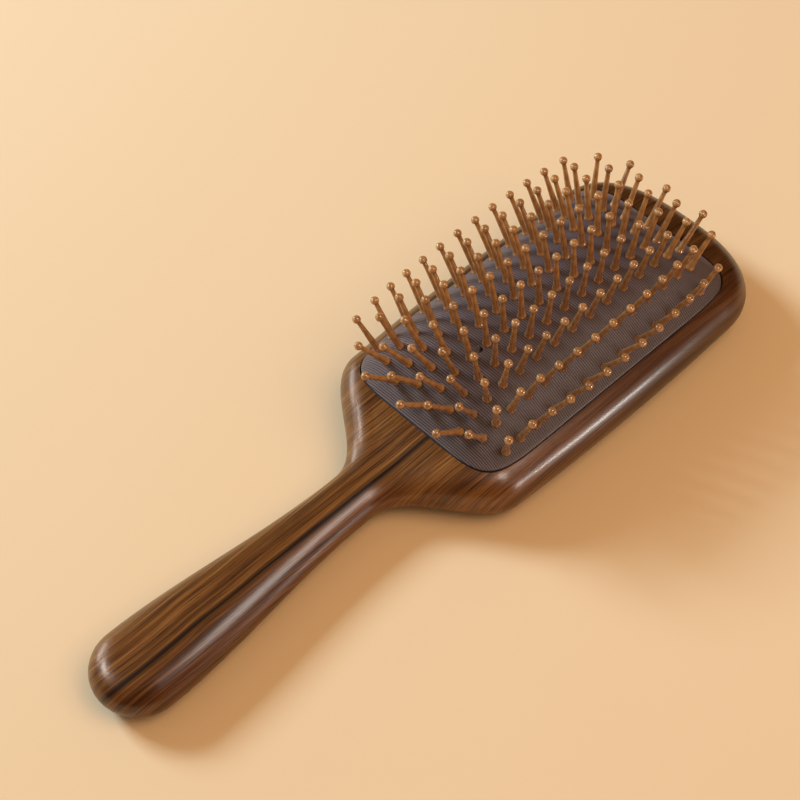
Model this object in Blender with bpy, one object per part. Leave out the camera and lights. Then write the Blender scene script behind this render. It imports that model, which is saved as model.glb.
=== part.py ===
"""Vanity hairbrush: a wooden paddle, an air cushion of thin rubber and nine rows of ball-tipped pins.

Lengths are in metres. X runs along the brush towards the head's far end, Y to its left and Z up.
The brush lies on its back, and the origin is the middle of its bounding box on the table.
"""

import math

import bmesh
import bpy
from mathutils import Vector
from mathutils.geometry import delaunay_2d_cdt

MM = 0.001

# Paddle, from the handle's butt to the head's far end
LENGTH = 238 * MM
HEAD_HALF_WIDTH = 36.9 * MM
HEAD_END_HALF_WIDTH = 35.8 * MM
HEAD_THICKNESS = 18 * MM
EDGE_RADIUS = 9 * MM
HEAD_END_DEPTH = 24 * MM  # how far the far end's rounded corners reach back
HEAD_END_SQUARENESS = 2.6
SHOULDER_LENGTH = 36 * MM
SHOULDER_X = -43.8 * MM  # where the head reaches its full width, from the cushion's centre
NECK_HALF_WIDTH = 8.4 * MM
NECK_TOP = 13.5 * MM
NECK_UNDERSIDE = 1.5 * MM
BULB_HALF_WIDTH = 14.4 * MM
BULB_TOP = 14.5 * MM
BUTT_LENGTH = 14 * MM
ROUNDING_STEPS = 5

# Air cushion
PAD_X = 53.5 * MM  # centre of the cushion
PAD_HALF_LENGTH = 52.6 * MM
PAD_HALF_WIDTH = 30.4 * MM
DOME_HEIGHT = 11.5 * MM
DOME_POWER_X = 5.3  # how late the dome falls away along its length
DOME_POWER_Y = 2.9
DOME_CORNER = 2  # squareness of the dome's corners
SKIN = 1.2 * MM
SKIRT_DEPTH = 4 * MM
BEAD = 1.2 * MM
BEAD_HEIGHT = 1.6 * MM
VENT_RADIUS = 1.1 * MM
VENT_X = -24.8 * MM  # from the middle of the pin field
RIM_STEPS = 72

# Recess in the paddle that holds the cushion
RECESS_GAP = 0.4 * MM
RECESS_DEPTH = 7 * MM
GROOVE = 1.7 * MM
GROOVE_GAP = 0.4 * MM

# Pins
ROW_COUNTS = (13, 14, 15, 14, 15, 14, 15, 14, 13)
REACH_PINS = 7  # pins between the middle of a full row and its end
FIELD_SHIFT = -1.3 * MM  # the pin field stands a little nearer the handle than the cushion does
PIN_REACH_X = 46.5 * MM  # from the middle of the field to its end pins
PIN_CROWDING = 0.11  # how much closer the end pins stand than the middle ones
ROW_PITCH = 6.72 * MM
LEAN_WITH_SLOPE = 1.3  # how much more the end pins lean than the skin falls
LEAN_SIDE = 0.66  # how far the outer rows lean sideways
LEAN_SIDE_EASE = 0.6  # how much less they do at the ends
PIN_SIDES = 6
PIN_LENGTH = 15 * MM
BALL_RADIUS = 1.3 * MM
SHAFT_RADIUS = 0.72 * MM
FOOT_RADIUS = 1.25 * MM
FOOT_TAPER = 4 * MM
FLANGE_RADIUS = 1.95 * MM
FLANGE_TOP = -2 * MM
FLANGE_BOTTOM = -2.8 * MM
HOLE_RADIUS = 1.7 * MM
PINS_PER_STRIP = 3


def clear_scene():
    for obj in list(bpy.data.objects):
        bpy.data.objects.remove(obj, do_unlink=True)


def material(name, color, roughness):
    made = bpy.data.materials.new(name)
    made.use_nodes = True
    shader = made.node_tree.nodes["Principled BSDF"]
    shader.inputs["Base Color"].default_value = (*color, 1)
    shader.inputs["Roughness"].default_value = roughness
    shader.inputs["Metallic"].default_value = 0
    return made


def new_object(name, mesh, made_of=None):
    obj = bpy.data.objects.new(name, mesh)
    bpy.context.scene.collection.objects.link(obj)
    if made_of:
        mesh.materials.append(made_of)
    return obj


def put_origin(obj, point):
    """Moves the object's origin to this point and leaves its shape where it is."""
    for vertex in obj.data.vertices:
        vertex.co -= point
    obj.location = point


def finished_mesh(name, bm):
    bmesh.ops.recalc_face_normals(bm, faces=bm.faces)
    mesh = bpy.data.meshes.new(name)
    bm.to_mesh(mesh)
    bm.free()
    return mesh


def bridge(bm, first, second):
    """Quads between two closed rings of the same number of vertices."""
    count = len(first)
    for i in range(count):
        j = (i + 1) % count
        bm.faces.new((first[i], first[j], second[j], second[i]))


def ease(t):
    """Rises from 0 to 1 with no slope or bend at either end."""
    t = min(max(t, 0), 1)
    return t * t * t * (10 - 15 * t + 6 * t * t)


# Paddle


def paddle_outline():
    """(x, half width) from the butt to the far end, the widest line of the paddle seen from above."""
    butt = -LENGTH / 2
    far = LENGTH / 2
    bulb = butt + BUTT_LENGTH
    head_start = PAD_X + SHOULDER_X
    head_stop = far - HEAD_END_DEPTH
    neck = head_start - SHOULDER_LENGTH
    points = []
    for i in range(9):
        turn = math.pi / 2 * i / 8
        points.append((bulb - BUTT_LENGTH * math.cos(turn), BULB_HALF_WIDTH * math.sin(turn)))
    for i in range(1, 12):
        t = i / 12
        drop = (BULB_HALF_WIDTH - NECK_HALF_WIDTH) * t * t * (3 - 2 * t)
        points.append((bulb + (neck - bulb) * t, BULB_HALF_WIDTH - drop))
    for i in range(15):
        t = i / 14
        rise = (HEAD_END_HALF_WIDTH - NECK_HALF_WIDTH) * ease(t)
        points.append((neck + SHOULDER_LENGTH * t, NECK_HALF_WIDTH + rise))
    for i in range(1, 8):
        t = i / 8
        bulge = (HEAD_HALF_WIDTH - HEAD_END_HALF_WIDTH) * 4 * t * (1 - t)
        points.append((head_start + (head_stop - head_start) * t, HEAD_END_HALF_WIDTH + bulge))
    power = 2 / HEAD_END_SQUARENESS
    for i in range(17):
        turn = math.pi / 2 * (1 - i / 16)
        along = HEAD_END_DEPTH * max(math.cos(turn), 0) ** power
        points.append((head_stop + along, HEAD_END_HALF_WIDTH * max(math.sin(turn), 0) ** power))
    return points


def paddle_levels(x):
    """(underside, top) of the paddle at x."""
    flat = PAD_X - PAD_HALF_LENGTH - 4 * MM
    neck = PAD_X + SHOULDER_X - SHOULDER_LENGTH
    bulb = -LENGTH / 2 + BUTT_LENGTH
    if x > neck:
        t = ease((flat - x) / (flat - neck))
        return NECK_UNDERSIDE * t, HEAD_THICKNESS + (NECK_TOP - HEAD_THICKNESS) * t
    t = ease((neck - x) / (neck - bulb))
    return NECK_UNDERSIDE * (1 - t), NECK_TOP + (BULB_TOP - NECK_TOP) * t


def inward(outline, i):
    """Unit vector into the paddle at point i of its half outline."""
    before = outline[max(i - 1, 0)]
    after = outline[min(i + 1, len(outline) - 1)]
    along = Vector((after[0] - before[0], after[1] - before[1]))
    if i == 0:
        along = Vector((0, 1))
    if i == len(outline) - 1:
        along = Vector((0, -1))
    along.normalize()
    return Vector((along.y, -along.x))


def paddle_ring(outline, turn):
    """The closed ring of points where the rounded edge has turned by this angle from level."""
    left = []
    last = len(outline) - 1
    butt_stop = -LENGTH / 2 + BUTT_LENGTH
    head_start = PAD_X + SHOULDER_X
    for i, (x, width) in enumerate(outline):
        low, high = paddle_levels(x)
        in_neck = butt_stop < x < head_start
        radius = min(EDGE_RADIUS, 0.94 * width) if in_neck else EDGE_RADIUS
        step = inward(outline, i) * radius * (1 - math.cos(turn))
        y = 0 if i in (0, last) else max(width + step.y, 0.3 * MM)
        z = (low + high) / 2 + (high - low) / 2 * math.sin(turn)
        left.append((x + step.x, y, z))
    right = [(x, -y, z) for x, y, z in reversed(left[1:-1])]
    return left + right


def close_paddle(bm, ring):
    """Fills the flat between the two long sides of a ring."""
    half = len(ring) // 2
    for i in range(half):
        corners = [ring[i], ring[i + 1], ring[-i - 1], ring[-i]]
        bm.faces.new(list(dict.fromkeys(corners)))


def dome_ring(grow, z):
    """The cushion's outline at this height, grown sideways."""
    points = []
    for i in range(RIM_STEPS):
        turn = 2 * math.pi * (i + 0.5) / RIM_STEPS
        c, s = math.cos(turn), math.sin(turn)
        x = (c * c) ** (1 / (DOME_POWER_X * DOME_CORNER)) * (PAD_HALF_LENGTH + grow)
        y = (s * s) ** (1 / (DOME_POWER_Y * DOME_CORNER)) * (PAD_HALF_WIDTH + grow)
        points.append((PAD_X + math.copysign(x, c), math.copysign(y, s), z))
    return points


def stack(name, rings):
    """A closed mesh through a stack of rings, with a flat face on each end."""
    bm = bmesh.new()
    made = [[bm.verts.new(point) for point in ring] for ring in rings]
    for first, second in zip(made, made[1:]):
        bridge(bm, first, second)
    bm.faces.new(made[0])
    bm.faces.new(made[-1])
    return finished_mesh(name, bm)


def recess_cutter():
    top = HEAD_THICKNESS
    groove_top = top - SKIRT_DEPTH + BEAD_HEIGHT + GROOVE_GAP
    groove_bottom = top - SKIRT_DEPTH - GROOVE_GAP
    rings = [
        dome_ring(RECESS_GAP, top + 5 * MM),
        dome_ring(RECESS_GAP, groove_top),
        dome_ring(GROOVE, groove_top),
        dome_ring(GROOVE, groove_bottom),
        dome_ring(RECESS_GAP, groove_bottom),
        dome_ring(RECESS_GAP, top - RECESS_DEPTH),
    ]
    cutter = new_object("recess_cutter", stack("recess_cutter", rings))
    cutter.hide_render = True
    cutter.display_type = "WIRE"
    return cutter


def paddle_body(wood):
    """The whole wooden piece: head, neck and handle, with its edges rounded over."""
    outline = paddle_outline()
    bm = bmesh.new()
    rings = []
    for i in range(-ROUNDING_STEPS, ROUNDING_STEPS + 1):
        turn = math.pi / 2 * i / ROUNDING_STEPS
        rings.append([bm.verts.new(point) for point in paddle_ring(outline, turn)])
    for first, second in zip(rings, rings[1:]):
        bridge(bm, first, second)
    close_paddle(bm, rings[0])
    close_paddle(bm, rings[-1])
    paddle = new_object("paddle_body", finished_mesh("paddle_body", bm), wood)
    recess = paddle.modifiers.new("recess", "BOOLEAN")
    recess.operation = "DIFFERENCE"
    recess.solver = "EXACT"
    recess.object = recess_cutter()
    return paddle


# The cushion's dome


def dome_height(x, y):
    """Height of the cushion's outside above its rim, x and y from its centre."""
    across = abs(x / PAD_HALF_LENGTH) ** (DOME_POWER_X * DOME_CORNER)
    up = abs(y / PAD_HALF_WIDTH) ** (DOME_POWER_Y * DOME_CORNER)
    return DOME_HEIGHT * (1 - (across + up) ** (1 / DOME_CORNER))


def dome_slope(x, y):
    """How steeply the dome falls along +X and +Y."""
    step = 0.05 * MM
    fall_x = (dome_height(x - step, y) - dome_height(x + step, y)) / (2 * step)
    fall_y = (dome_height(x, y - step) - dome_height(x, y + step)) / (2 * step)
    return fall_x, fall_y


def skin_point(x, y, depth=0.0):
    """A point of the cushion's skin, this deep under its outside."""
    fall_x, fall_y = dome_slope(x, y)
    thick = depth * math.sqrt(1 + fall_x * fall_x + fall_y * fall_y)
    return Vector((PAD_X + x, y, HEAD_THICKNESS + dome_height(x, y) - thick))


# Pins


def pin_places(row):
    """(x, y, lean) of each pin of a row, from the cushion's centre. The lean is a unit vector."""
    count = ROW_COUNTS[row]
    middle = (len(ROW_COUNTS) - 1) / 2
    t = (row - middle) / middle
    places = []
    for i in range(count):
        s = (i - (count - 1) / 2) / REACH_PINS
        x = FIELD_SHIFT + PIN_REACH_X * s * (1 + PIN_CROWDING * (1 - s * s))
        y = (row - middle) * ROW_PITCH
        lean_x = LEAN_WITH_SLOPE * dome_slope(x, y)[0]
        lean_y = LEAN_SIDE * t * (1 - LEAN_SIDE_EASE * s * s)
        places.append((x, y, Vector((lean_x, lean_y, 1)).normalized()))
    return places


def circle_round(centre, axis, radius, height):
    """PIN_SIDES points round the axis at this height, with a flat towards +X and one towards -X."""
    across = Vector((1, 0, 0)) - axis * axis.x
    across.normalize()
    side = axis.cross(across)
    points = []
    for i in range(PIN_SIDES):
        turn = 2 * math.pi * (i + 0.5) / PIN_SIDES
        spoke = across * math.cos(turn) + side * math.sin(turn)
        points.append(centre + axis * height + spoke * radius)
    return points


def add_pin(bm, x, y, lean):
    """Builds one pin and returns its flange's faces towards -X and +X."""
    foot = skin_point(x, y)
    profile = (
        (FLANGE_RADIUS, FLANGE_BOTTOM),
        (FLANGE_RADIUS, FLANGE_TOP),
        (FOOT_RADIUS, FLANGE_TOP),
        (FOOT_RADIUS * 0.7, FOOT_TAPER),
        (SHAFT_RADIUS, PIN_LENGTH - 2 * BALL_RADIUS),
        (BALL_RADIUS, PIN_LENGTH - BALL_RADIUS),
    )
    rings = []
    for radius, height in profile:
        rings.append([bm.verts.new(point) for point in circle_round(foot, lean, radius, height)])
    for first, second in zip(rings, rings[1:]):
        bridge(bm, first, second)
    bm.faces.new(list(reversed(rings[0])))
    tip = bm.verts.new(foot + lean * PIN_LENGTH)
    for i in range(PIN_SIDES):
        bm.faces.new((rings[-1][i], rings[-1][(i + 1) % PIN_SIDES], tip))
    towards_x = (rings[0][-1], rings[0][0], rings[1][0], rings[1][-1])
    away = (rings[0][2], rings[0][3], rings[1][3], rings[1][2])
    return away, towards_x


def join_flanges(bm, from_pin, to_pin):
    """Replaces the facing sides of two flanges with a web between them."""
    for corners in (from_pin, to_pin):
        bm.faces.remove(bm.faces.get(corners))
    low_start, low_end, high_end, high_start = from_pin
    facing = (to_pin[1], to_pin[0], to_pin[3], to_pin[2])
    bridge(bm, (low_start, low_end, high_end, high_start), facing)


def pin_strips(row, pin_material):
    """The row's pins, in strips of up to three, each joined by a web under the cushion."""
    places = pin_places(row)
    strips = math.ceil(len(places) / PINS_PER_STRIP)
    row_frame = bpy.data.objects.new(f"row_{row + 1}_axis", None)
    bpy.context.scene.collection.objects.link(row_frame)
    row_frame.location = (PAD_X, places[0][1], row_pivot(row))
    for strip in range(strips):
        start = strip * len(places) // strips
        stop = (strip + 1) * len(places) // strips
        bm = bmesh.new()
        last = None
        for x, y, lean in places[start:stop]:
            away, towards_x = add_pin(bm, x, y, lean)
            if last:
                join_flanges(bm, last, away)
            last = towards_x
        for vertex in bm.verts:
            vertex.co -= row_frame.location
        name = f"row_{row + 1}_pins_{strip + 1}"
        obj = new_object(name, finished_mesh(name, bm), pin_material)
        obj.parent = row_frame


def row_pivot(row):
    """Height of the line that a row's pins rock about: the skin at the middle of the row."""
    places = pin_places(row)
    x, y, _ = places[len(places) // 2]
    return skin_point(x, y, SKIN / 2).z


# Cushion


def hole_rings():
    """(outer ring, inner ring) of every hole through the skin, in plan: the pins' holes and the vent."""
    holes = []
    for row in range(len(ROW_COUNTS)):
        for x, y, lean in pin_places(row):
            foot = skin_point(x, y)
            holes.append((foot, lean, HOLE_RADIUS))
    holes.append((skin_point(FIELD_SHIFT + VENT_X, 0), Vector((0, 0, 1)), VENT_RADIUS))
    rings = []
    for foot, lean, radius in holes:
        outer = circle_round(foot, lean, radius, 0)
        inner = circle_round(foot, lean, radius, -SKIN * 1.05)
        rings.append((outer, inner))
    return rings


def add_skin(bm, rim, holes, depth):
    """One side of the skin, triangulated between the rim and the holes. Returns the holes' vertices."""
    plan = [Vector((vertex.co.x, vertex.co.y)) for vertex in rim]
    edges = [(i, (i + 1) % len(rim)) for i in range(len(rim))]
    centres = []
    for ring in holes:
        start = len(plan)
        plan.extend(Vector((point.x, point.y)) for point in ring)
        edges.extend((start + i, start + (i + 1) % len(ring)) for i in range(len(ring)))
        centres.append(sum(plan[start:], Vector((0, 0))) / len(ring))
    _, _, faces, *_ = delaunay_2d_cdt(plan, edges, [], 1, 1e-9)
    vertices = list(rim)
    for point in plan[len(rim):]:
        vertices.append(bm.verts.new(skin_point(point.x - PAD_X, point.y, depth)))
    ring_of = [None] * len(rim)
    for number, ring in enumerate(holes):
        ring_of.extend([number] * len(ring))
    for face in faces:
        rings = {ring_of[i] for i in face}
        if len(rings) == 1 and None not in rings:
            continue
        bm.faces.new([vertices[i] for i in face])
    made = []
    start = len(rim)
    for ring in holes:
        made.append(vertices[start:start + len(ring)])
        start += len(ring)
    return made


def air_cushion(rubber):
    """The domed skin with its skirt and bead, open underneath, pierced for the vent and the pins."""
    bm = bmesh.new()
    rim = HEAD_THICKNESS
    foot = rim - SKIRT_DEPTH
    profile = (
        (0, rim),
        (0, foot + BEAD_HEIGHT),
        (BEAD, foot + BEAD_HEIGHT),
        (BEAD, foot),
        (-SKIN, foot),
        (-SKIN, rim - SKIN),
    )
    rings = []
    for grow, z in profile:
        rings.append([bm.verts.new(point) for point in dome_ring(grow, z)])
    for first, second in zip(rings, rings[1:]):
        bridge(bm, first, second)
    holes = hole_rings()
    outer = add_skin(bm, rings[0], [ring for ring, _ in holes], 0)
    inner = add_skin(bm, rings[-1], [ring for _, ring in holes], SKIN)
    for first, second in zip(outer, inner):
        bridge(bm, first, second)
    cushion = new_object("air_cushion", finished_mesh("air_cushion", bm), rubber)
    put_origin(cushion, Vector((PAD_X, 0, HEAD_THICKNESS)))
    return cushion


def main():
    clear_scene()
    wood = material("walnut", (0.12, 0.055, 0.025), 0.35)
    rubber = material("cushion_rubber", (0.12, 0.095, 0.095), 0.6)
    pin_material = material("pin_brown", (0.36, 0.17, 0.065), 0.3)
    paddle_body(wood)
    air_cushion(rubber)
    for row in range(len(ROW_COUNTS)):
        pin_strips(row, pin_material)


main()
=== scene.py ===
"""Vanity hairbrush: the fine surfaces, materials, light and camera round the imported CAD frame.

Lengths are in metres, in the frame of the CAD. X runs along the brush towards the head's far end,
Y to its left and Z up. The brush lies on its back with its pins up.
"""

import math

import bmesh
import bpy
import numpy as np
from mathutils import Matrix, Vector


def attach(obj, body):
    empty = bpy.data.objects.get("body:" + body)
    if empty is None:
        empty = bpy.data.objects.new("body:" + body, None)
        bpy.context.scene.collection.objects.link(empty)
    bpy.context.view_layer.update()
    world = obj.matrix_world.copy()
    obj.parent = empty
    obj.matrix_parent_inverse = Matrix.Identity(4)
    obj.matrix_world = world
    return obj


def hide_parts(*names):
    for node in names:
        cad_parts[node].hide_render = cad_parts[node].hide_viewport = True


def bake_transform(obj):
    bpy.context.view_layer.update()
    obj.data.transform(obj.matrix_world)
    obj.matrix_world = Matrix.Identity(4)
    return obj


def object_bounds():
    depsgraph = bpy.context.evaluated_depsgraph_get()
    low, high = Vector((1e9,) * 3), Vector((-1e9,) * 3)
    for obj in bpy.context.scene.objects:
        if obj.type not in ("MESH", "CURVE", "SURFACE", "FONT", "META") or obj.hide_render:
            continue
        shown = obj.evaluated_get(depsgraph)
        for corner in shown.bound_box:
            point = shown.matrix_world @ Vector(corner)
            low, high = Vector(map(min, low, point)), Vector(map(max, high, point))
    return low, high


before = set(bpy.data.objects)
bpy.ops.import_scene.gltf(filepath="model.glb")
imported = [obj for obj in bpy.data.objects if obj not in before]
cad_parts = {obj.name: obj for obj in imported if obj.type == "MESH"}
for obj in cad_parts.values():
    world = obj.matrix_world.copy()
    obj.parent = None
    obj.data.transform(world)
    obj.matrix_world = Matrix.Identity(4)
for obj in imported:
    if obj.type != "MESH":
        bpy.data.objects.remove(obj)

MM = 0.001
CAD_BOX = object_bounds()

# Paddle, as in the CAD
LENGTH = 238 * MM
HEAD_HALF_WIDTH = 36.9 * MM
HEAD_END_HALF_WIDTH = 35.8 * MM
HEAD_THICKNESS = 18 * MM
EDGE_RADIUS = 9 * MM
HEAD_END_DEPTH = 24 * MM
HEAD_END_SQUARENESS = 2.6
SHOULDER_LENGTH = 36 * MM
SHOULDER_X = -43.8 * MM
NECK_HALF_WIDTH = 8.4 * MM
NECK_TOP = 13.5 * MM
NECK_UNDERSIDE = 1.5 * MM
BULB_HALF_WIDTH = 14.4 * MM
BULB_TOP = 14.5 * MM
BUTT_LENGTH = 14 * MM
RADIUS_BLEND = 0.6 * MM  # how softly the edge radius shrinks into the neck
EDGE_SHARE = 0.94  # the most of the half width that the rounded edge takes
FLAT_TOP_MARGIN = 4 * MM  # how far the level top reaches past the cushion, towards the handle
END_HALF_WIDTH = 0.02 * MM  # least half width beside the outline's two end points
ROUNDING_STEPS = 18

# Air cushion, as in the CAD
PAD_X = 53.5 * MM
PAD_HALF_LENGTH = 52.6 * MM
PAD_HALF_WIDTH = 30.4 * MM
DOME_HEIGHT = 11.5 * MM
DOME_POWER_X = 5.3
DOME_POWER_Y = 2.9
DOME_CORNER = 2
SKIRT_DEPTH = 4 * MM
RECESS_GAP = 0.22 * MM  # narrower than the CAD's clearance, so that only a fine line shows
RECESS_DEPTH = 7 * MM
RECESS_CHAMFER = 0.6 * MM  # how deep the recess's upper edge is broken
RECESS_FLARE = 0.5  # its slant, sideways over upwards
CUTTER_ABOVE = 4 * MM  # how far the cutter stands out of the wood
RECESS_POINTS = 360
VENT_RADIUS = 0.85 * MM
VENT_X = -24.8 * MM

# The cushion's surface
RIB_PITCH = 0.75 * MM
RIB_HEIGHT = 0.16 * MM
POINTS_PER_RIB = 5
CUSHION_ROWS = 150
ROW_BUNCHING = 1.25  # radians of sine that draw the rows together at the two long edges
RIB_FADE = 0.8 * MM  # height over the rim at which the ribs are full
DIMPLE_DEPTH = 0.32 * MM
DIMPLE_RADIUS = 2.1 * MM
VENT_DEPTH = 2.6 * MM
VENT_ROUNDING = 0.3 * MM  # how far past its radius the vent starts to fall
VENT_WALL = 0.45 * MM  # width over which it falls to its full depth
RIM_DROP = 0.3 * MM  # a first, short step of the skirt that keeps the rim crisp

# Pins
ROW_COUNTS = (13, 14, 15, 14, 15, 14, 15, 14, 13)
FIELD_SHIFT = -1.3 * MM
PIN_REACH_X = 46.5 * MM
PIN_CROWDING = 0.11
ROW_PITCH = 6.72 * MM
LEAN_WITH_SLOPE = 1.3
LEAN_SIDE = 0.66
LEAN_SIDE_EASE = 0.6
PIN_LENGTH = 15 * MM
BALL_RADIUS = 1.3 * MM
SHAFT_RADIUS = 0.72 * MM
NECK_DROP = 0.22 * MM  # how far below the ball the shaft's last ring is
BALL_START = math.asin(0.58)  # angle from the ball's lower pole at which it leaves the shaft
BALL_STEPS = 14
PIN_SIDES = 28
PINS_PER_STRIP = 3
SPAN_PINS = 7  # pins from the middle of the longest row to its end
MIDDLE_ROW = (len(ROW_COUNTS) - 1) / 2

# Wood figure
VEIN_Y = -4.6 * MM  # the dark vein along the handle
VEIN_WIDTH = 1.8 * MM
GRAIN_TILT = 0.45  # how far the growth layers lean, sideways over upwards

# Camera
CAMERA_AZIMUTH = -38.565
CAMERA_ELEVATION = 52.482
CAMERA_ROLL = -5.894
CAMERA_DISTANCE = 632.4 * MM
CAMERA_LENS = 97.17
CAMERA_LOOKS_AT = (3.94 * MM, 9.8 * MM, 18 * MM)

# Stage and light
FLOOR_HALF_SIZE = 2.5
FLOOR_CLEARANCE = 0.05 * MM
BRUSH_MIDDLE = (0.02, 0, 0.02)  # and below, the points that lights are aimed at
HANDLE_SPOT = (-0.066, -0.008, 0.012)
NEAR_EDGE_SPOT = (0.045, -0.036, 0.014)
BUTT_SPOT = (-0.112, 0.004, 0.013)
WARM_WHITE = (1.0, 0.96, 0.92)


# Objects and nodes


def new_object(name, mesh, made_of):
    """An object in the scene with this mesh and material."""
    obj = bpy.data.objects.new(name, mesh)
    bpy.context.scene.collection.objects.link(obj)
    mesh.materials.append(made_of)
    return obj


def add(tree, kind, inputs=None, **settings):
    """A new node with these settings, and with these values or links on its inputs."""
    made = tree.nodes.new(kind)
    for name, value in settings.items():
        setattr(made, name, value)
    for key, value in (inputs or {}).items():
        if isinstance(value, bpy.types.NodeSocket):
            tree.links.new(value, made.inputs[key])
        else:
            made.inputs[key].default_value = value
    return made


def math_node(tree, operation, first, second=0.0):
    """The result of a sum, product or other operation on two values."""
    return add(tree, "ShaderNodeMath", {0: first, 1: second}, operation=operation).outputs[0]


def blend_colours(tree, factor, first, second, how="MIX"):
    """The first colour, mixed with or multiplied by the second as factor rises from 0 to 1."""
    inputs = {0: factor, 6: first, 7: second}
    made = add(tree, "ShaderNodeMix", inputs, data_type="RGBA", blend_type=how)
    return made.outputs[2]


def ramp(tree, factor, stops):
    """Colours between stops of (place, colour)."""
    made = add(tree, "ShaderNodeValToRGB", {0: factor})
    elements = made.color_ramp.elements
    while len(elements) < len(stops):
        elements.new(0.5)
    for element, (place, colour) in zip(elements, stops):
        element.position = place
        element.color = (*colour, 1)
    return made.outputs[0]


def smooth_range(tree, value, low, high):
    """Rises smoothly from 0 at low to 1 at high."""
    inputs = {"Value": value, "From Min": low, "From Max": high}
    made = add(tree, "ShaderNodeMapRange", inputs, interpolation_type="SMOOTHSTEP")
    return made.outputs[0]


def stretched_noise(tree, coords, scale, detail, roughness=0.5):
    """Noise whose scale differs along each axis, in features per metre."""
    mapped = add(tree, "ShaderNodeMapping", {"Vector": coords, "Scale": scale})
    inputs = {
        "Vector": mapped.outputs[0],
        "Scale": 1.0,
        "Detail": detail,
        "Roughness": roughness,
    }
    return add(tree, "ShaderNodeTexNoise", inputs).outputs[0]


def new_material(name):
    """(material, node tree, its Principled shader, object coordinates)."""
    made = bpy.data.materials.new(name)
    made.use_nodes = True
    tree = made.node_tree
    coords = add(tree, "ShaderNodeTexCoord").outputs["Object"]
    return made, tree, tree.nodes["Principled BSDF"], coords


def add_bump(tree, shader, height, distance, strength=1.0):
    """Fine relief on the shader's surface, where a height of 1 stands this distance above 0."""
    inputs = {"Height": height, "Distance": distance, "Strength": strength}
    made = add(tree, "ShaderNodeBump", inputs)
    tree.links.new(made.outputs[0], shader.inputs["Normal"])


# Materials


def walnut():
    """Oiled walnut under satin lacquer: its grain runs along X, with one dark vein down the handle and
    painted shade over the head.
    """
    made, tree, shader, coords = new_material("walnut")
    grain = grain_coordinates(tree, coords)
    bands = stretched_noise(tree, grain, (4, 120, 10), 2, 0.5)
    streaks = stretched_noise(tree, grain, (9, 1300, 40), 4, 0.66)
    fibres = stretched_noise(tree, grain, (40, 4200, 140), 3, 0.6)
    tone = math_node(tree, "MULTIPLY", bands, 0.27)
    tone = math_node(tree, "ADD", tone, math_node(tree, "MULTIPLY", streaks, 0.37))
    tone = math_node(tree, "ADD", tone, math_node(tree, "MULTIPLY", fibres, 0.40))
    stops = (
        (0.38, (0.029, 0.010, 0.0028)),
        (0.46, (0.074, 0.025, 0.0056)),
        (0.52, (0.142, 0.050, 0.0105)),
        (0.58, (0.220, 0.086, 0.0190)),
        (0.68, (0.330, 0.150, 0.0380)),
    )
    colour = ramp(tree, tone, stops)
    along = add(tree, "ShaderNodeSeparateXYZ", {0: coords}).outputs["X"]
    # Painted shade: the wood darkens along X from the neck onto the head, standing in for the head's dimmer
    # light.
    head_shade = smooth_range(tree, along, -10 * MM, 70 * MM)
    colour = blend_colours(tree, head_shade, colour, painted_head_shade(tree, colour))
    colour = blend_colours(tree, vein(tree, grain), colour, (0.014, 0.005, 0.002, 1))
    pores = stretched_noise(tree, grain, (110, 4600, 160), 2, 0.5)
    pores = smooth_range(tree, pores, 0.30, 0.42)
    dark = blend_colours(tree, 1.0, colour, (0.38, 0.30, 0.24, 1), "MULTIPLY")
    tree.links.new(blend_colours(tree, pores, dark, colour), shader.inputs["Base Color"])
    rough = math_node(tree, "MULTIPLY", streaks, 0.22)
    rough = math_node(tree, "ADD", rough, 0.26)
    tree.links.new(rough, shader.inputs["Roughness"])
    shader.inputs["Specular IOR Level"].default_value = 0.42
    shader.inputs["Specular Tint"].default_value = (1.0, 0.93, 0.86, 1)
    shader.inputs["Coat Weight"].default_value = 0.3
    shader.inputs["Coat Roughness"].default_value = 0.2
    relief = math_node(tree, "ADD", math_node(tree, "MULTIPLY", pores, 0.7), fibres)
    add_bump(tree, shader, relief, 0.014 * MM, 0.6)
    return made


def painted_head_shade(tree, colour):
    """The wood's colour multiplied darker: painted shade for the head, not a darker wood."""
    return blend_colours(tree, 1.0, colour, (0.47, 0.43, 0.42, 1), "MULTIPLY")


def grain_coordinates(tree, coords):
    """Object coordinates with the growth layers tilted across the brush and drifting slowly along it."""
    drift = stretched_noise(tree, coords, (13, 14, 14), 2)
    drift = math_node(tree, "MULTIPLY", math_node(tree, "SUBTRACT", drift, 0.5), 0.007)
    parts = add(tree, "ShaderNodeSeparateXYZ", {0: coords}).outputs
    tilt = math_node(tree, "MULTIPLY", math_node(tree, "SUBTRACT", parts["Z"], BULB_TOP), GRAIN_TILT)
    across = math_node(tree, "ADD", math_node(tree, "ADD", parts["Y"], tilt), drift)
    inputs = {"X": parts["X"], "Y": across, "Z": parts["Z"]}
    return add(tree, "ShaderNodeCombineXYZ", inputs).outputs[0]


def vein(tree, grain):
    """How much of the dark vein shows, from 0 to 1, along the line y = VEIN_Y."""
    across = add(tree, "ShaderNodeSeparateXYZ", {0: grain}).outputs["Y"]
    away = math_node(tree, "ABSOLUTE", math_node(tree, "SUBTRACT", across, VEIN_Y))
    near = math_node(tree, "SUBTRACT", 1.0, smooth_range(tree, away, 0.0, VEIN_WIDTH))
    broken = stretched_noise(tree, grain, (20, 900, 40), 3, 0.6)
    return math_node(tree, "MULTIPLY", near, smooth_range(tree, broken, 0.2, 0.46))


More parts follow.
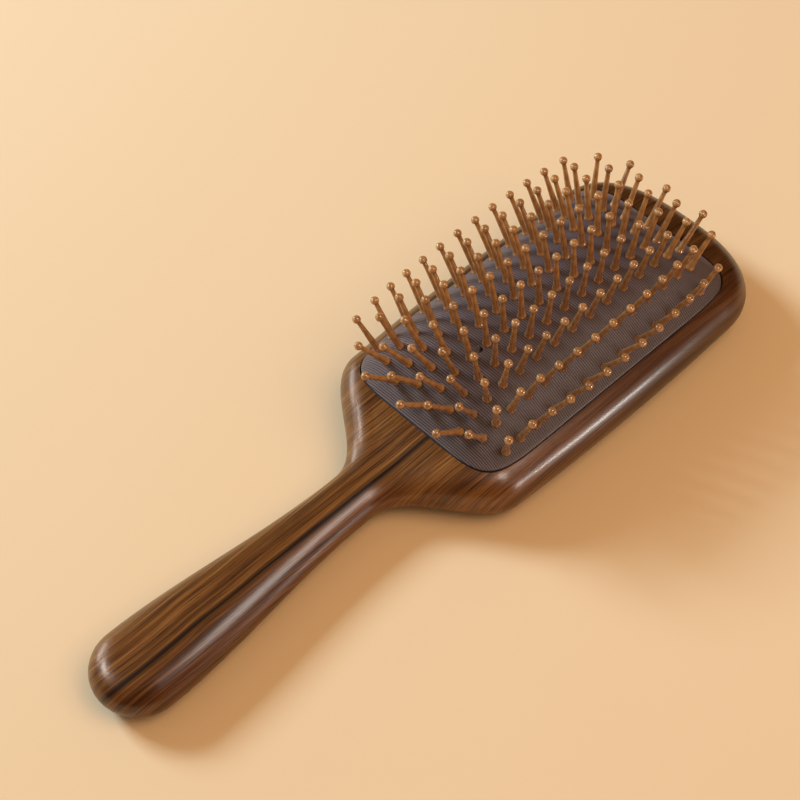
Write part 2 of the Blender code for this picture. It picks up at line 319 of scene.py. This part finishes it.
def rubber():
    """Matt grey-brown rubber, with a painted highlight, lighter and more violet, on the ribs' crests and
    painted shade between them.
    """
    made, tree, shader, coords = new_material("cushion_rubber")
    crest = add(tree, "ShaderNodeAttribute", attribute_name="rib").outputs["Fac"]
    cloud = stretched_noise(tree, coords, (60, 60, 60), 4, 0.6)
    grit = stretched_noise(tree, coords, (5200, 5200, 5200), 2, 0.6)
    # Painted light: low is painted shade between the ribs, high a painted lilac highlight on their crests.
    low = (0.024, 0.014, 0.014, 1)
    high = (0.160, 0.108, 0.108, 1)
    colour = blend_colours(tree, crest, low, high)
    worn = blend_colours(tree, cloud, (0.75, 0.75, 0.75, 1), (1.2, 1.15, 1.12, 1))
    colour = blend_colours(tree, 1.0, colour, worn, "MULTIPLY")
    tree.links.new(colour, shader.inputs["Base Color"])
    rough = math_node(tree, "ADD", math_node(tree, "MULTIPLY", grit, 0.18), 0.42)
    tree.links.new(rough, shader.inputs["Roughness"])
    shader.inputs["Sheen Weight"].default_value = 0.2
    shader.inputs["Sheen Roughness"].default_value = 0.4
    shader.inputs["Sheen Tint"].default_value = (0.85, 0.8, 0.9, 1)
    add_bump(tree, shader, grit, 0.015 * MM, 0.5)
    return made


def caramel_plastic():
    """Moulded caramel plastic, each pin a little different, with soft streaks along the shaft."""
    made, tree, shader, coords = new_material("caramel_plastic")
    chance = add(tree, "ShaderNodeObjectInfo").outputs["Random"]
    streak = stretched_noise(tree, coords, (900, 900, 90), 3, 0.6)
    mottle = stretched_noise(tree, coords, (350, 350, 350), 2, 0.5)
    tone = math_node(tree, "MULTIPLY", math_node(tree, "ADD", streak, mottle), 0.5)
    stops = (
        (0.32, (0.240, 0.100, 0.028)),
        (0.50, (0.420, 0.205, 0.068)),
        (0.68, (0.600, 0.340, 0.140)),
    )
    colour = ramp(tree, tone, stops)
    shade = blend_colours(tree, chance, (0.86, 0.84, 0.82, 1), (1.12, 1.12, 1.12, 1))
    colour = blend_colours(tree, 1.0, colour, shade, "MULTIPLY")
    tree.links.new(colour, shader.inputs["Base Color"])
    rough = math_node(tree, "ADD", math_node(tree, "MULTIPLY", streak, 0.15), 0.20)
    tree.links.new(rough, shader.inputs["Roughness"])
    shader.inputs["Coat Weight"].default_value = 1.0
    shader.inputs["Coat Roughness"].default_value = 0.12
    add_bump(tree, shader, streak, 0.02 * MM, 0.35)
    return made


def peach_paper():
    """Matt, pale peach paper with a faint cloud of tone."""
    made, tree, shader, coords = new_material("peach_paper")
    cloud = stretched_noise(tree, coords, (4, 4, 4), 3, 0.5)
    colour = blend_colours(tree, cloud, (0.745, 0.545, 0.340, 1), (0.765, 0.565, 0.355, 1))
    tree.links.new(colour, shader.inputs["Base Color"])
    shader.inputs["Roughness"].default_value = 0.8
    shader.inputs["Specular IOR Level"].default_value = 0.03
    fibre = stretched_noise(tree, coords, (1500, 1500, 1500), 2, 0.5)
    add_bump(tree, shader, fibre, 0.02 * MM, 0.2)
    return made


# Paddle


def ease(t):
    """Rises from 0 to 1 with no slope or bend at either end."""
    t = min(max(t, 0), 1)
    return t * t * t * (10 - 15 * t + 6 * t * t)


def paddle_outline():
    """(x, half width) from the butt to the far end, the widest line of the paddle seen from above."""
    bulb = -LENGTH / 2 + BUTT_LENGTH
    head_start = PAD_X + SHOULDER_X
    head_stop = LENGTH / 2 - HEAD_END_DEPTH
    neck = head_start - SHOULDER_LENGTH
    power = 2 / HEAD_END_SQUARENESS
    points = []
    for turn in np.linspace(0, math.pi / 2, 33):
        points.append((bulb - BUTT_LENGTH * math.cos(turn), BULB_HALF_WIDTH * math.sin(turn)))
    for t in np.linspace(0, 1, 90)[1:-1]:
        drop = (BULB_HALF_WIDTH - NECK_HALF_WIDTH) * t * t * (3 - 2 * t)
        points.append((bulb + (neck - bulb) * t, BULB_HALF_WIDTH - drop))
    for t in np.linspace(0, 1, 61):
        rise = (HEAD_END_HALF_WIDTH - NECK_HALF_WIDTH) * ease(t)
        points.append((neck + SHOULDER_LENGTH * t, NECK_HALF_WIDTH + rise))
    for t in np.linspace(0, 1, 70)[1:-1]:
        bulge = (HEAD_HALF_WIDTH - HEAD_END_HALF_WIDTH) * 4 * t * (1 - t)
        points.append((head_start + (head_stop - head_start) * t, HEAD_END_HALF_WIDTH + bulge))
    for turn in np.linspace(math.pi / 2, 0, 65):
        along = HEAD_END_DEPTH * max(math.cos(turn), 0) ** power
        points.append((head_stop + along, HEAD_END_HALF_WIDTH * max(math.sin(turn), 0) ** power))
    return points


def paddle_levels(x):
    """(underside, top) of the paddle at x."""
    flat = flat_top_start()
    neck = PAD_X + SHOULDER_X - SHOULDER_LENGTH
    bulb = -LENGTH / 2 + BUTT_LENGTH
    if x > neck:
        t = ease((flat - x) / (flat - neck))
        return NECK_UNDERSIDE * t, HEAD_THICKNESS + (NECK_TOP - HEAD_THICKNESS) * t
    t = ease((neck - x) / (neck - bulb))
    return NECK_UNDERSIDE * (1 - t), NECK_TOP + (BULB_TOP - NECK_TOP) * t


def flat_top_start():
    """X from which the head's top is level."""
    return PAD_X - PAD_HALF_LENGTH - FLAT_TOP_MARGIN


def edge_radius(x, width):
    """How far in from the outline the rounded edge reaches. It shrinks softly into the neck."""
    if not -LENGTH / 2 + BUTT_LENGTH < x < PAD_X + SHOULDER_X:
        return EDGE_RADIUS
    near = math.exp(-EDGE_RADIUS / RADIUS_BLEND) + math.exp(-EDGE_SHARE * width / RADIUS_BLEND)
    return -RADIUS_BLEND * math.log(near)


def inward(outline, i):
    """Unit vector into the paddle at point i of its half outline."""
    if i == 0:
        return Vector((1, 0))
    if i == len(outline) - 1:
        return Vector((-1, 0))
    along = Vector(outline[i + 1]) - Vector(outline[i - 1])
    along.normalize()
    return Vector((along.y, -along.x))


def paddle_ring(outline, turn):
    """The closed ring of points where the rounded edge has turned by this angle from level."""
    left = []
    last = len(outline) - 1
    for i, (x, width) in enumerate(outline):
        low, high = paddle_levels(x)
        step = inward(outline, i) * edge_radius(x, width) * (1 - math.cos(turn))
        y = 0 if i in (0, last) else max(width + step.y, END_HALF_WIDTH)
        z = (low + high) / 2 + (high - low) / 2 * math.sin(turn)
        left.append((x + step.x, y, z))
    right = [(x, -y, z) for x, y, z in reversed(left[1:-1])]
    return left + right


def bridge(bm, first, second):
    """Quads between two closed rings of the same number of vertices."""
    count = len(first)
    for i in range(count):
        j = (i + 1) % count
        bm.faces.new((first[i], first[j], second[j], second[i]))


def recess_ring(grow, z):
    """The recess's outline at this height, grown sideways."""
    points = []
    for i in range(RECESS_POINTS):
        turn = 2 * math.pi * (i + 0.5) / RECESS_POINTS
        c, s = math.cos(turn), math.sin(turn)
        x = (c * c) ** (1 / (DOME_POWER_X * DOME_CORNER)) * (PAD_HALF_LENGTH + grow)
        y = (s * s) ** (1 / (DOME_POWER_Y * DOME_CORNER)) * (PAD_HALF_WIDTH + grow)
        points.append((PAD_X + math.copysign(x, c), math.copysign(y, s), z))
    return points


def recess_cutter():
    """The form cut out of the head: straight sides with a slanted upper edge."""
    flare_start = HEAD_THICKNESS - RECESS_CHAMFER
    flare = RECESS_FLARE * (CUTTER_ABOVE + RECESS_CHAMFER)
    rings = (
        recess_ring(RECESS_GAP + flare, HEAD_THICKNESS + CUTTER_ABOVE),
        recess_ring(RECESS_GAP, flare_start),
        recess_ring(RECESS_GAP, HEAD_THICKNESS - RECESS_DEPTH),
    )
    bm = bmesh.new()
    made = [[bm.verts.new(point) for point in ring] for ring in rings]
    for first, second in zip(made, made[1:]):
        bridge(bm, first, second)
    bm.faces.new(made[0])
    bm.faces.new(made[-1])
    bmesh.ops.recalc_face_normals(bm, faces=bm.faces)
    mesh = bpy.data.meshes.new("recess_cutter")
    bm.to_mesh(mesh)
    bm.free()
    cutter = bpy.data.objects.new("recess_cutter", mesh)
    bpy.context.scene.collection.objects.link(cutter)
    return cutter


def close_flat(bm, ring):
    """Fills the flat between the two long sides of a ring."""
    for i in range(len(ring) // 2):
        corners = [ring[i], ring[i + 1], ring[-i - 1], ring[-i]]
        bm.faces.new(list(dict.fromkeys(corners)))


def cut_recess(paddle):
    """Cuts the recess out of the paddle's mesh itself, so that no modifier or cutter is left."""
    cutter = recess_cutter()
    cut = paddle.modifiers.new("recess", "BOOLEAN")
    cut.operation = "DIFFERENCE"
    cut.solver = "EXACT"
    cut.object = cutter
    graph = bpy.context.evaluated_depsgraph_get()
    whole = paddle.data
    paddle.data = bpy.data.meshes.new_from_object(paddle.evaluated_get(graph))
    paddle.modifiers.remove(cut)
    bpy.data.objects.remove(cutter)
    bpy.data.meshes.remove(whole)
    paddle.data.name = "paddle_wood"


def wooden_paddle(wood):
    """The whole wooden piece, with its edges rounded over and the recess for the cushion."""
    outline = paddle_outline()
    bm = bmesh.new()
    rings = []
    for i in range(-ROUNDING_STEPS, ROUNDING_STEPS + 1):
        turn = math.pi / 2 * i / ROUNDING_STEPS
        rings.append([bm.verts.new(point) for point in paddle_ring(outline, turn)])
    for first, second in zip(rings, rings[1:]):
        bridge(bm, first, second)
    close_flat(bm, rings[0])
    close_flat(bm, rings[-1])
    bmesh.ops.recalc_face_normals(bm, faces=bm.faces)
    mesh = bpy.data.meshes.new("paddle_wood")
    bm.to_mesh(mesh)
    bm.free()
    paddle = new_object("paddle_wood", mesh, wood)
    cut_recess(paddle)
    paddle.data.shade_smooth()
    paddle.data.set_sharp_from_angle(angle=math.radians(40))
    normals = paddle.modifiers.new("normals", "WEIGHTED_NORMAL")
    normals.keep_sharp = True
    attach(paddle, "paddle")
    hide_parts("paddle_body")


# Cushion


def dome_height(x, y):
    """Height of the cushion's outside above its rim, x and y from its centre."""
    across = np.abs(x / PAD_HALF_LENGTH) ** (DOME_POWER_X * DOME_CORNER)
    up = np.abs(y / PAD_HALF_WIDTH) ** (DOME_POWER_Y * DOME_CORNER)
    return DOME_HEIGHT * (1 - (across + up) ** (1 / DOME_CORNER))


def dome_slope(x, y):
    """How steeply the dome falls along +X and +Y."""
    step = 0.05 * MM
    fall_x = (dome_height(x - step, y) - dome_height(x + step, y)) / (2 * step)
    fall_y = (dome_height(x, y - step) - dome_height(x, y + step)) / (2 * step)
    return fall_x, fall_y


def pin_places(row):
    """(x, y, lean) of each pin of a row, from the cushion's centre. The lean is a unit vector."""
    count = ROW_COUNTS[row]
    t = (row - MIDDLE_ROW) / MIDDLE_ROW
    places = []
    for i in range(count):
        s = (i - (count - 1) / 2) / SPAN_PINS
        x = FIELD_SHIFT + PIN_REACH_X * s * (1 + PIN_CROWDING * (1 - s * s))
        y = (row - MIDDLE_ROW) * ROW_PITCH
        lean_x = LEAN_WITH_SLOPE * dome_slope(x, y)[0]
        lean_y = LEAN_SIDE * t * (1 - LEAN_SIDE_EASE * s * s)
        places.append((x, y, Vector((lean_x, lean_y, 1)).normalized()))
    return places


def cushion_columns():
    """(x, distance along the skin) of the cushion's columns of points, close together for the ribs."""
    x = np.linspace(-1, 1, 40001) * PAD_HALF_LENGTH * (1 - 1e-5)
    rise = np.gradient(dome_height(x, 0), x)
    along = np.concatenate([[0], np.cumsum(np.hypot(1, (rise[1:] + rise[:-1]) / 2) * np.diff(x))])
    steps = round(along[-1] / RIB_PITCH * POINTS_PER_RIB)
    marks = np.linspace(0, along[-1], steps + 1)
    ends = np.array([0.004, 0.016, 0.05]) * MM
    marks = np.sort(np.concatenate([marks, ends, along[-1] - ends]))
    return np.interp(marks, along, x), marks - along[-1] / 2


def pad_half_width(x):
    """Half the cushion's width at x from its centre."""
    share = 1 - np.abs(x / PAD_HALF_LENGTH) ** (DOME_POWER_X * DOME_CORNER)
    return PAD_HALF_WIDTH * share ** (1 / (DOME_POWER_Y * DOME_CORNER))


def cushion_relief(across, down, crest):
    """How far outwards the ribs, the dimples and the vent move the skin. It is never above 0."""
    fade = np.clip(dome_height(across, down) / RIB_FADE, 0, 1)
    relief = RIB_HEIGHT * (crest - 1) * fade
    for row in range(len(ROW_COUNTS)):
        for pin_x, pin_y, _ in pin_places(row):
            away = np.hypot(across - pin_x, down - pin_y) / DIMPLE_RADIUS
            relief -= DIMPLE_DEPTH * np.exp(-away * away)
    away = np.hypot(across - FIELD_SHIFT - VENT_X, down)
    hole = np.clip((VENT_RADIUS + VENT_ROUNDING - away) / VENT_WALL, 0, 1)
    return relief - VENT_DEPTH * hole * hole * (3 - 2 * hole)


def cushion_surface():
    """(points, crest) of the dome as grids of columns by rows. The crest is 1 on a rib and 0 between two."""
    x, along = cushion_columns()
    share = np.sin(np.linspace(-1, 1, CUSHION_ROWS + 1) * ROW_BUNCHING) / math.sin(ROW_BUNCHING)
    across, down = np.meshgrid(x, share, indexing="ij")
    down = down * pad_half_width(x)[:, None]
    fall_x, fall_y = dome_slope(across, down)
    normal = np.stack([fall_x, fall_y, np.ones_like(fall_x)], axis=-1)
    normal /= np.linalg.norm(normal, axis=-1, keepdims=True)
    wave = 0.5 + 0.5 * np.cos(2 * math.pi * along / RIB_PITCH)
    crest = np.repeat(wave[:, None], CUSHION_ROWS + 1, axis=1)
    height = dome_height(across, down)
    points = np.stack([PAD_X + across, down, HEAD_THICKNESS + height], axis=-1)
    return points + normal * cushion_relief(across, down, crest)[..., None], crest


def cushion_mesh():
    """The ribbed dome, the skirt that hangs from its rim and a flat underside, as one closed mesh."""
    points, crest = cushion_surface()
    columns, rows = crest.shape
    index = np.arange(columns * rows).reshape(columns, rows)
    corners = (index[:-1, :-1], index[1:, :-1], index[1:, 1:], index[:-1, 1:])
    faces = np.stack([corner.ravel() for corner in corners], axis=1).tolist()
    rim = [*index[:, 0], *index[-1, 1:], *index[-2::-1, -1], *index[0, -2:0:-1]]
    vertices = points.reshape(-1, 3).tolist()
    painted_rib_light = crest.ravel().tolist()
    last = [int(i) for i in rim]
    for drop in (RIM_DROP, SKIRT_DEPTH):
        loop = []
        for i in rim:
            x, y, _ = vertices[i]
            loop.append(len(vertices))
            vertices.append((x, y, HEAD_THICKNESS - drop))
            painted_rib_light.append(0.0)
        for i in range(len(loop)):
            j = (i + 1) % len(loop)
            faces.append((last[i], loop[i], loop[j], last[j]))
        last = loop
    faces.append(last[::-1])
    mesh = bpy.data.meshes.new("cushion_skin")
    mesh.from_pydata(vertices, [], faces)
    # The rib attribute chooses painted highlight on the crests and painted shade between ribs and on the
    # skirt.
    mesh.attributes.new("rib", "FLOAT", "POINT").data.foreach_set("value", painted_rib_light)
    mesh.shade_smooth()
    return mesh


def cushion_skin(skin):
    """The whole cushion, as one closed mesh in the place of the CAD's cushion."""
    cushion = new_object("cushion_skin", cushion_mesh(), skin)
    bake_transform(cushion)
    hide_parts("air_cushion")


# Pins


def pin_profile():
    """(radius, height) up a pin, from its root in the cushion to the top of its ball."""
    shaft_in_mm = [
        (0.0, -0.9),
        (1.30, -0.9),
        (1.42, -0.55),
        (1.44, -0.1),
        (1.41, 0.14),
        (1.33, 0.32),
        (1.24, 0.55),
        (1.16, 1.0),
        (1.09, 1.8),
        (1.03, 3.0),
        (0.96, 4.5),
        (0.89, 6.3),
        (0.81, 8.4),
        (0.745, 10.4),
        (0.715, 11.6),
    ]
    points = [(radius * MM, height * MM) for radius, height in shaft_in_mm]
    centre = PIN_LENGTH - BALL_RADIUS
    neck_height = centre - BALL_RADIUS * math.cos(BALL_START)
    points.append((SHAFT_RADIUS, neck_height - NECK_DROP))
    for i in range(BALL_STEPS + 1):
        turn = BALL_START + (math.pi - BALL_START) * i / BALL_STEPS
        points.append((BALL_RADIUS * math.sin(turn), centre - BALL_RADIUS * math.cos(turn)))
    return points


def pin_mesh():
    """One pin, turned round Z, with its foot at the origin."""
    bm = bmesh.new()
    profile = pin_profile()
    low = bm.verts.new((0, 0, profile[0][1]))
    high = bm.verts.new((0, 0, profile[-1][1]))
    rings = []
    for radius, height in profile[1:-1]:
        ring = []
        for i in range(PIN_SIDES):
            turn = 2 * math.pi * i / PIN_SIDES
            ring.append(bm.verts.new((radius * math.cos(turn), radius * math.sin(turn), height)))
        rings.append(ring)
    for first, second in zip(rings, rings[1:]):
        bridge(bm, first, second)
    for i in range(PIN_SIDES):
        j = (i + 1) % PIN_SIDES
        bm.faces.new((rings[0][j], rings[0][i], low))
        bm.faces.new((rings[-1][i], rings[-1][j], high))
    bmesh.ops.recalc_face_normals(bm, faces=bm.faces)
    mesh = bpy.data.meshes.new("pin")
    bm.to_mesh(mesh)
    bm.free()
    mesh.shade_smooth()
    return mesh


def strip_of(i, count):
    """Number of the CAD strip that holds pin i of a row with this many pins."""
    strips = math.ceil(count / PINS_PER_STRIP)
    return next(k + 1 for k in range(strips) if i < (k + 1) * count // strips)


def pins(plastic):
    """All the pins, each standing in the cushion and rocking with its row."""
    mesh = pin_mesh()
    mesh.materials.append(plastic)
    for row, count in enumerate(ROW_COUNTS):
        for i, (x, y, lean) in enumerate(pin_places(row)):
            pin = bpy.data.objects.new(f"pin_{row + 1}_{i + 1}", mesh)
            bpy.context.scene.collection.objects.link(pin)
            foot = Vector((PAD_X + x, y, HEAD_THICKNESS + dome_height(x, y)))
            turned = Vector((0, 0, 1)).rotation_difference(lean).to_matrix().to_4x4()
            pin.matrix_world = Matrix.Translation(foot) @ turned
            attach(pin, f"pin_row_{row + 1}")
            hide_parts(f"row_{row + 1}_pins_{strip_of(i, count)}")


# Stage, light and camera


def direction(azimuth, elevation):
    """Unit vector from the object towards a viewer or a light. Azimuth 0 is towards -Y and 90 towards +X."""
    a, e = math.radians(azimuth), math.radians(elevation)
    return Vector((math.sin(a) * math.cos(e), -math.cos(a) * math.cos(e), math.sin(e)))


def floor():
    """A wide floor just under the brush."""
    bm = bmesh.new()
    bmesh.ops.create_grid(bm, x_segments=8, y_segments=8, size=FLOOR_HALF_SIZE)
    mesh = bpy.data.meshes.new("floor")
    bm.to_mesh(mesh)
    bm.free()
    ground = new_object("floor", mesh, peach_paper())
    ground.location.z = CAD_BOX[0].z - FLOOR_CLEARANCE


def area_light(name, aim, azimuth, elevation, distance, size, power, colour):
    """A rectangle of light that faces the point aim, and that the camera doesn't see.

    Azimuth and elevation are in degrees, distance and size in metres, and power in watts.
    """
    lamp = bpy.data.lights.new(name, "AREA")
    lamp.shape = "RECTANGLE"
    lamp.size, lamp.size_y = size
    lamp.energy = power
    lamp.color = colour
    obj = bpy.data.objects.new(name, lamp)
    bpy.context.scene.collection.objects.link(obj)
    towards = direction(azimuth, elevation)
    obj.location = Vector(aim) + towards * distance
    obj.rotation_euler = towards.to_track_quat("Z", "Y").to_euler()
    obj.visible_camera = False
    return obj


def soft_lights():
    """The light that falls on everything and shows in no reflection."""
    cool = (0.62, 0.83, 1.0)
    warm = (1.0, 0.68, 0.41)
    key = area_light("key", BRUSH_MIDDLE, -166, 30, 1.5, (0.50, 0.36), 30, cool)
    fill = area_light("near_fill", BRUSH_MIDDLE, 20, 58, 1.3, (0.90, 0.90), 8.9, warm)
    key.visible_glossy = False
    fill.visible_glossy = False
    world = bpy.data.worlds.new("studio")
    world.use_nodes = True
    sky = world.node_tree.nodes["Background"]
    sky.inputs["Color"].default_value = (1.0, 0.71, 0.45, 1)
    sky.inputs["Strength"].default_value = 0.36
    world.cycles_visibility.glossy = False
    bpy.context.scene.world = world


def gleams():
    """Reflectors that show only as highlights, each on the part that it is aimed at."""
    lamps = (
        ("back_gleam", BRUSH_MIDDLE, -167, 15, 1.2, (0.42, 0.28), 3.6),
        ("pin_gleam", BRUSH_MIDDLE, -150, 35, 0.9, (0.16, 0.16), 1.6),
        ("handle_gleam", HANDLE_SPOT, 40, 54, 0.25, (0.080, 0.095), 0.27),
        ("edge_gleam", NEAR_EDGE_SPOT, 22.5, 4, 0.24, (0.085, 0.02), 0.30),
        ("butt_gleam", BUTT_SPOT, -148, 40, 0.22, (0.06, 0.05), 0.12),
    )
    for lamp in lamps:
        area_light(*lamp, WARM_WHITE).visible_diffuse = False


def camera():
    """The view down on the brush from its near side and butt, rolled slightly."""
    back = direction(CAMERA_AZIMUTH, CAMERA_ELEVATION)
    level = (-back).cross(Vector((0, 0, 1))).normalized()
    upright = level.cross(-back)
    roll = math.radians(CAMERA_ROLL)
    right = level * math.cos(roll) + upright * math.sin(roll)
    up = upright * math.cos(roll) - level * math.sin(roll)
    data = bpy.data.cameras.new("camera")
    data.lens = CAMERA_LENS
    data.clip_start = 0.02
    data.clip_end = 20
    obj = bpy.data.objects.new("camera", data)
    bpy.context.scene.collection.objects.link(obj)
    turned = Matrix((right, up, back)).transposed().to_4x4()
    place = Vector(CAMERA_LOOKS_AT) + back * CAMERA_DISTANCE
    obj.matrix_world = Matrix.Translation(place) @ turned
    bpy.context.scene.camera = obj
    bpy.context.scene.view_settings.view_transform = "Standard"


wooden_paddle(walnut())
cushion_skin(rubber())
pins(caramel_plastic())
floor()
soft_lights()
gleams()
camera()
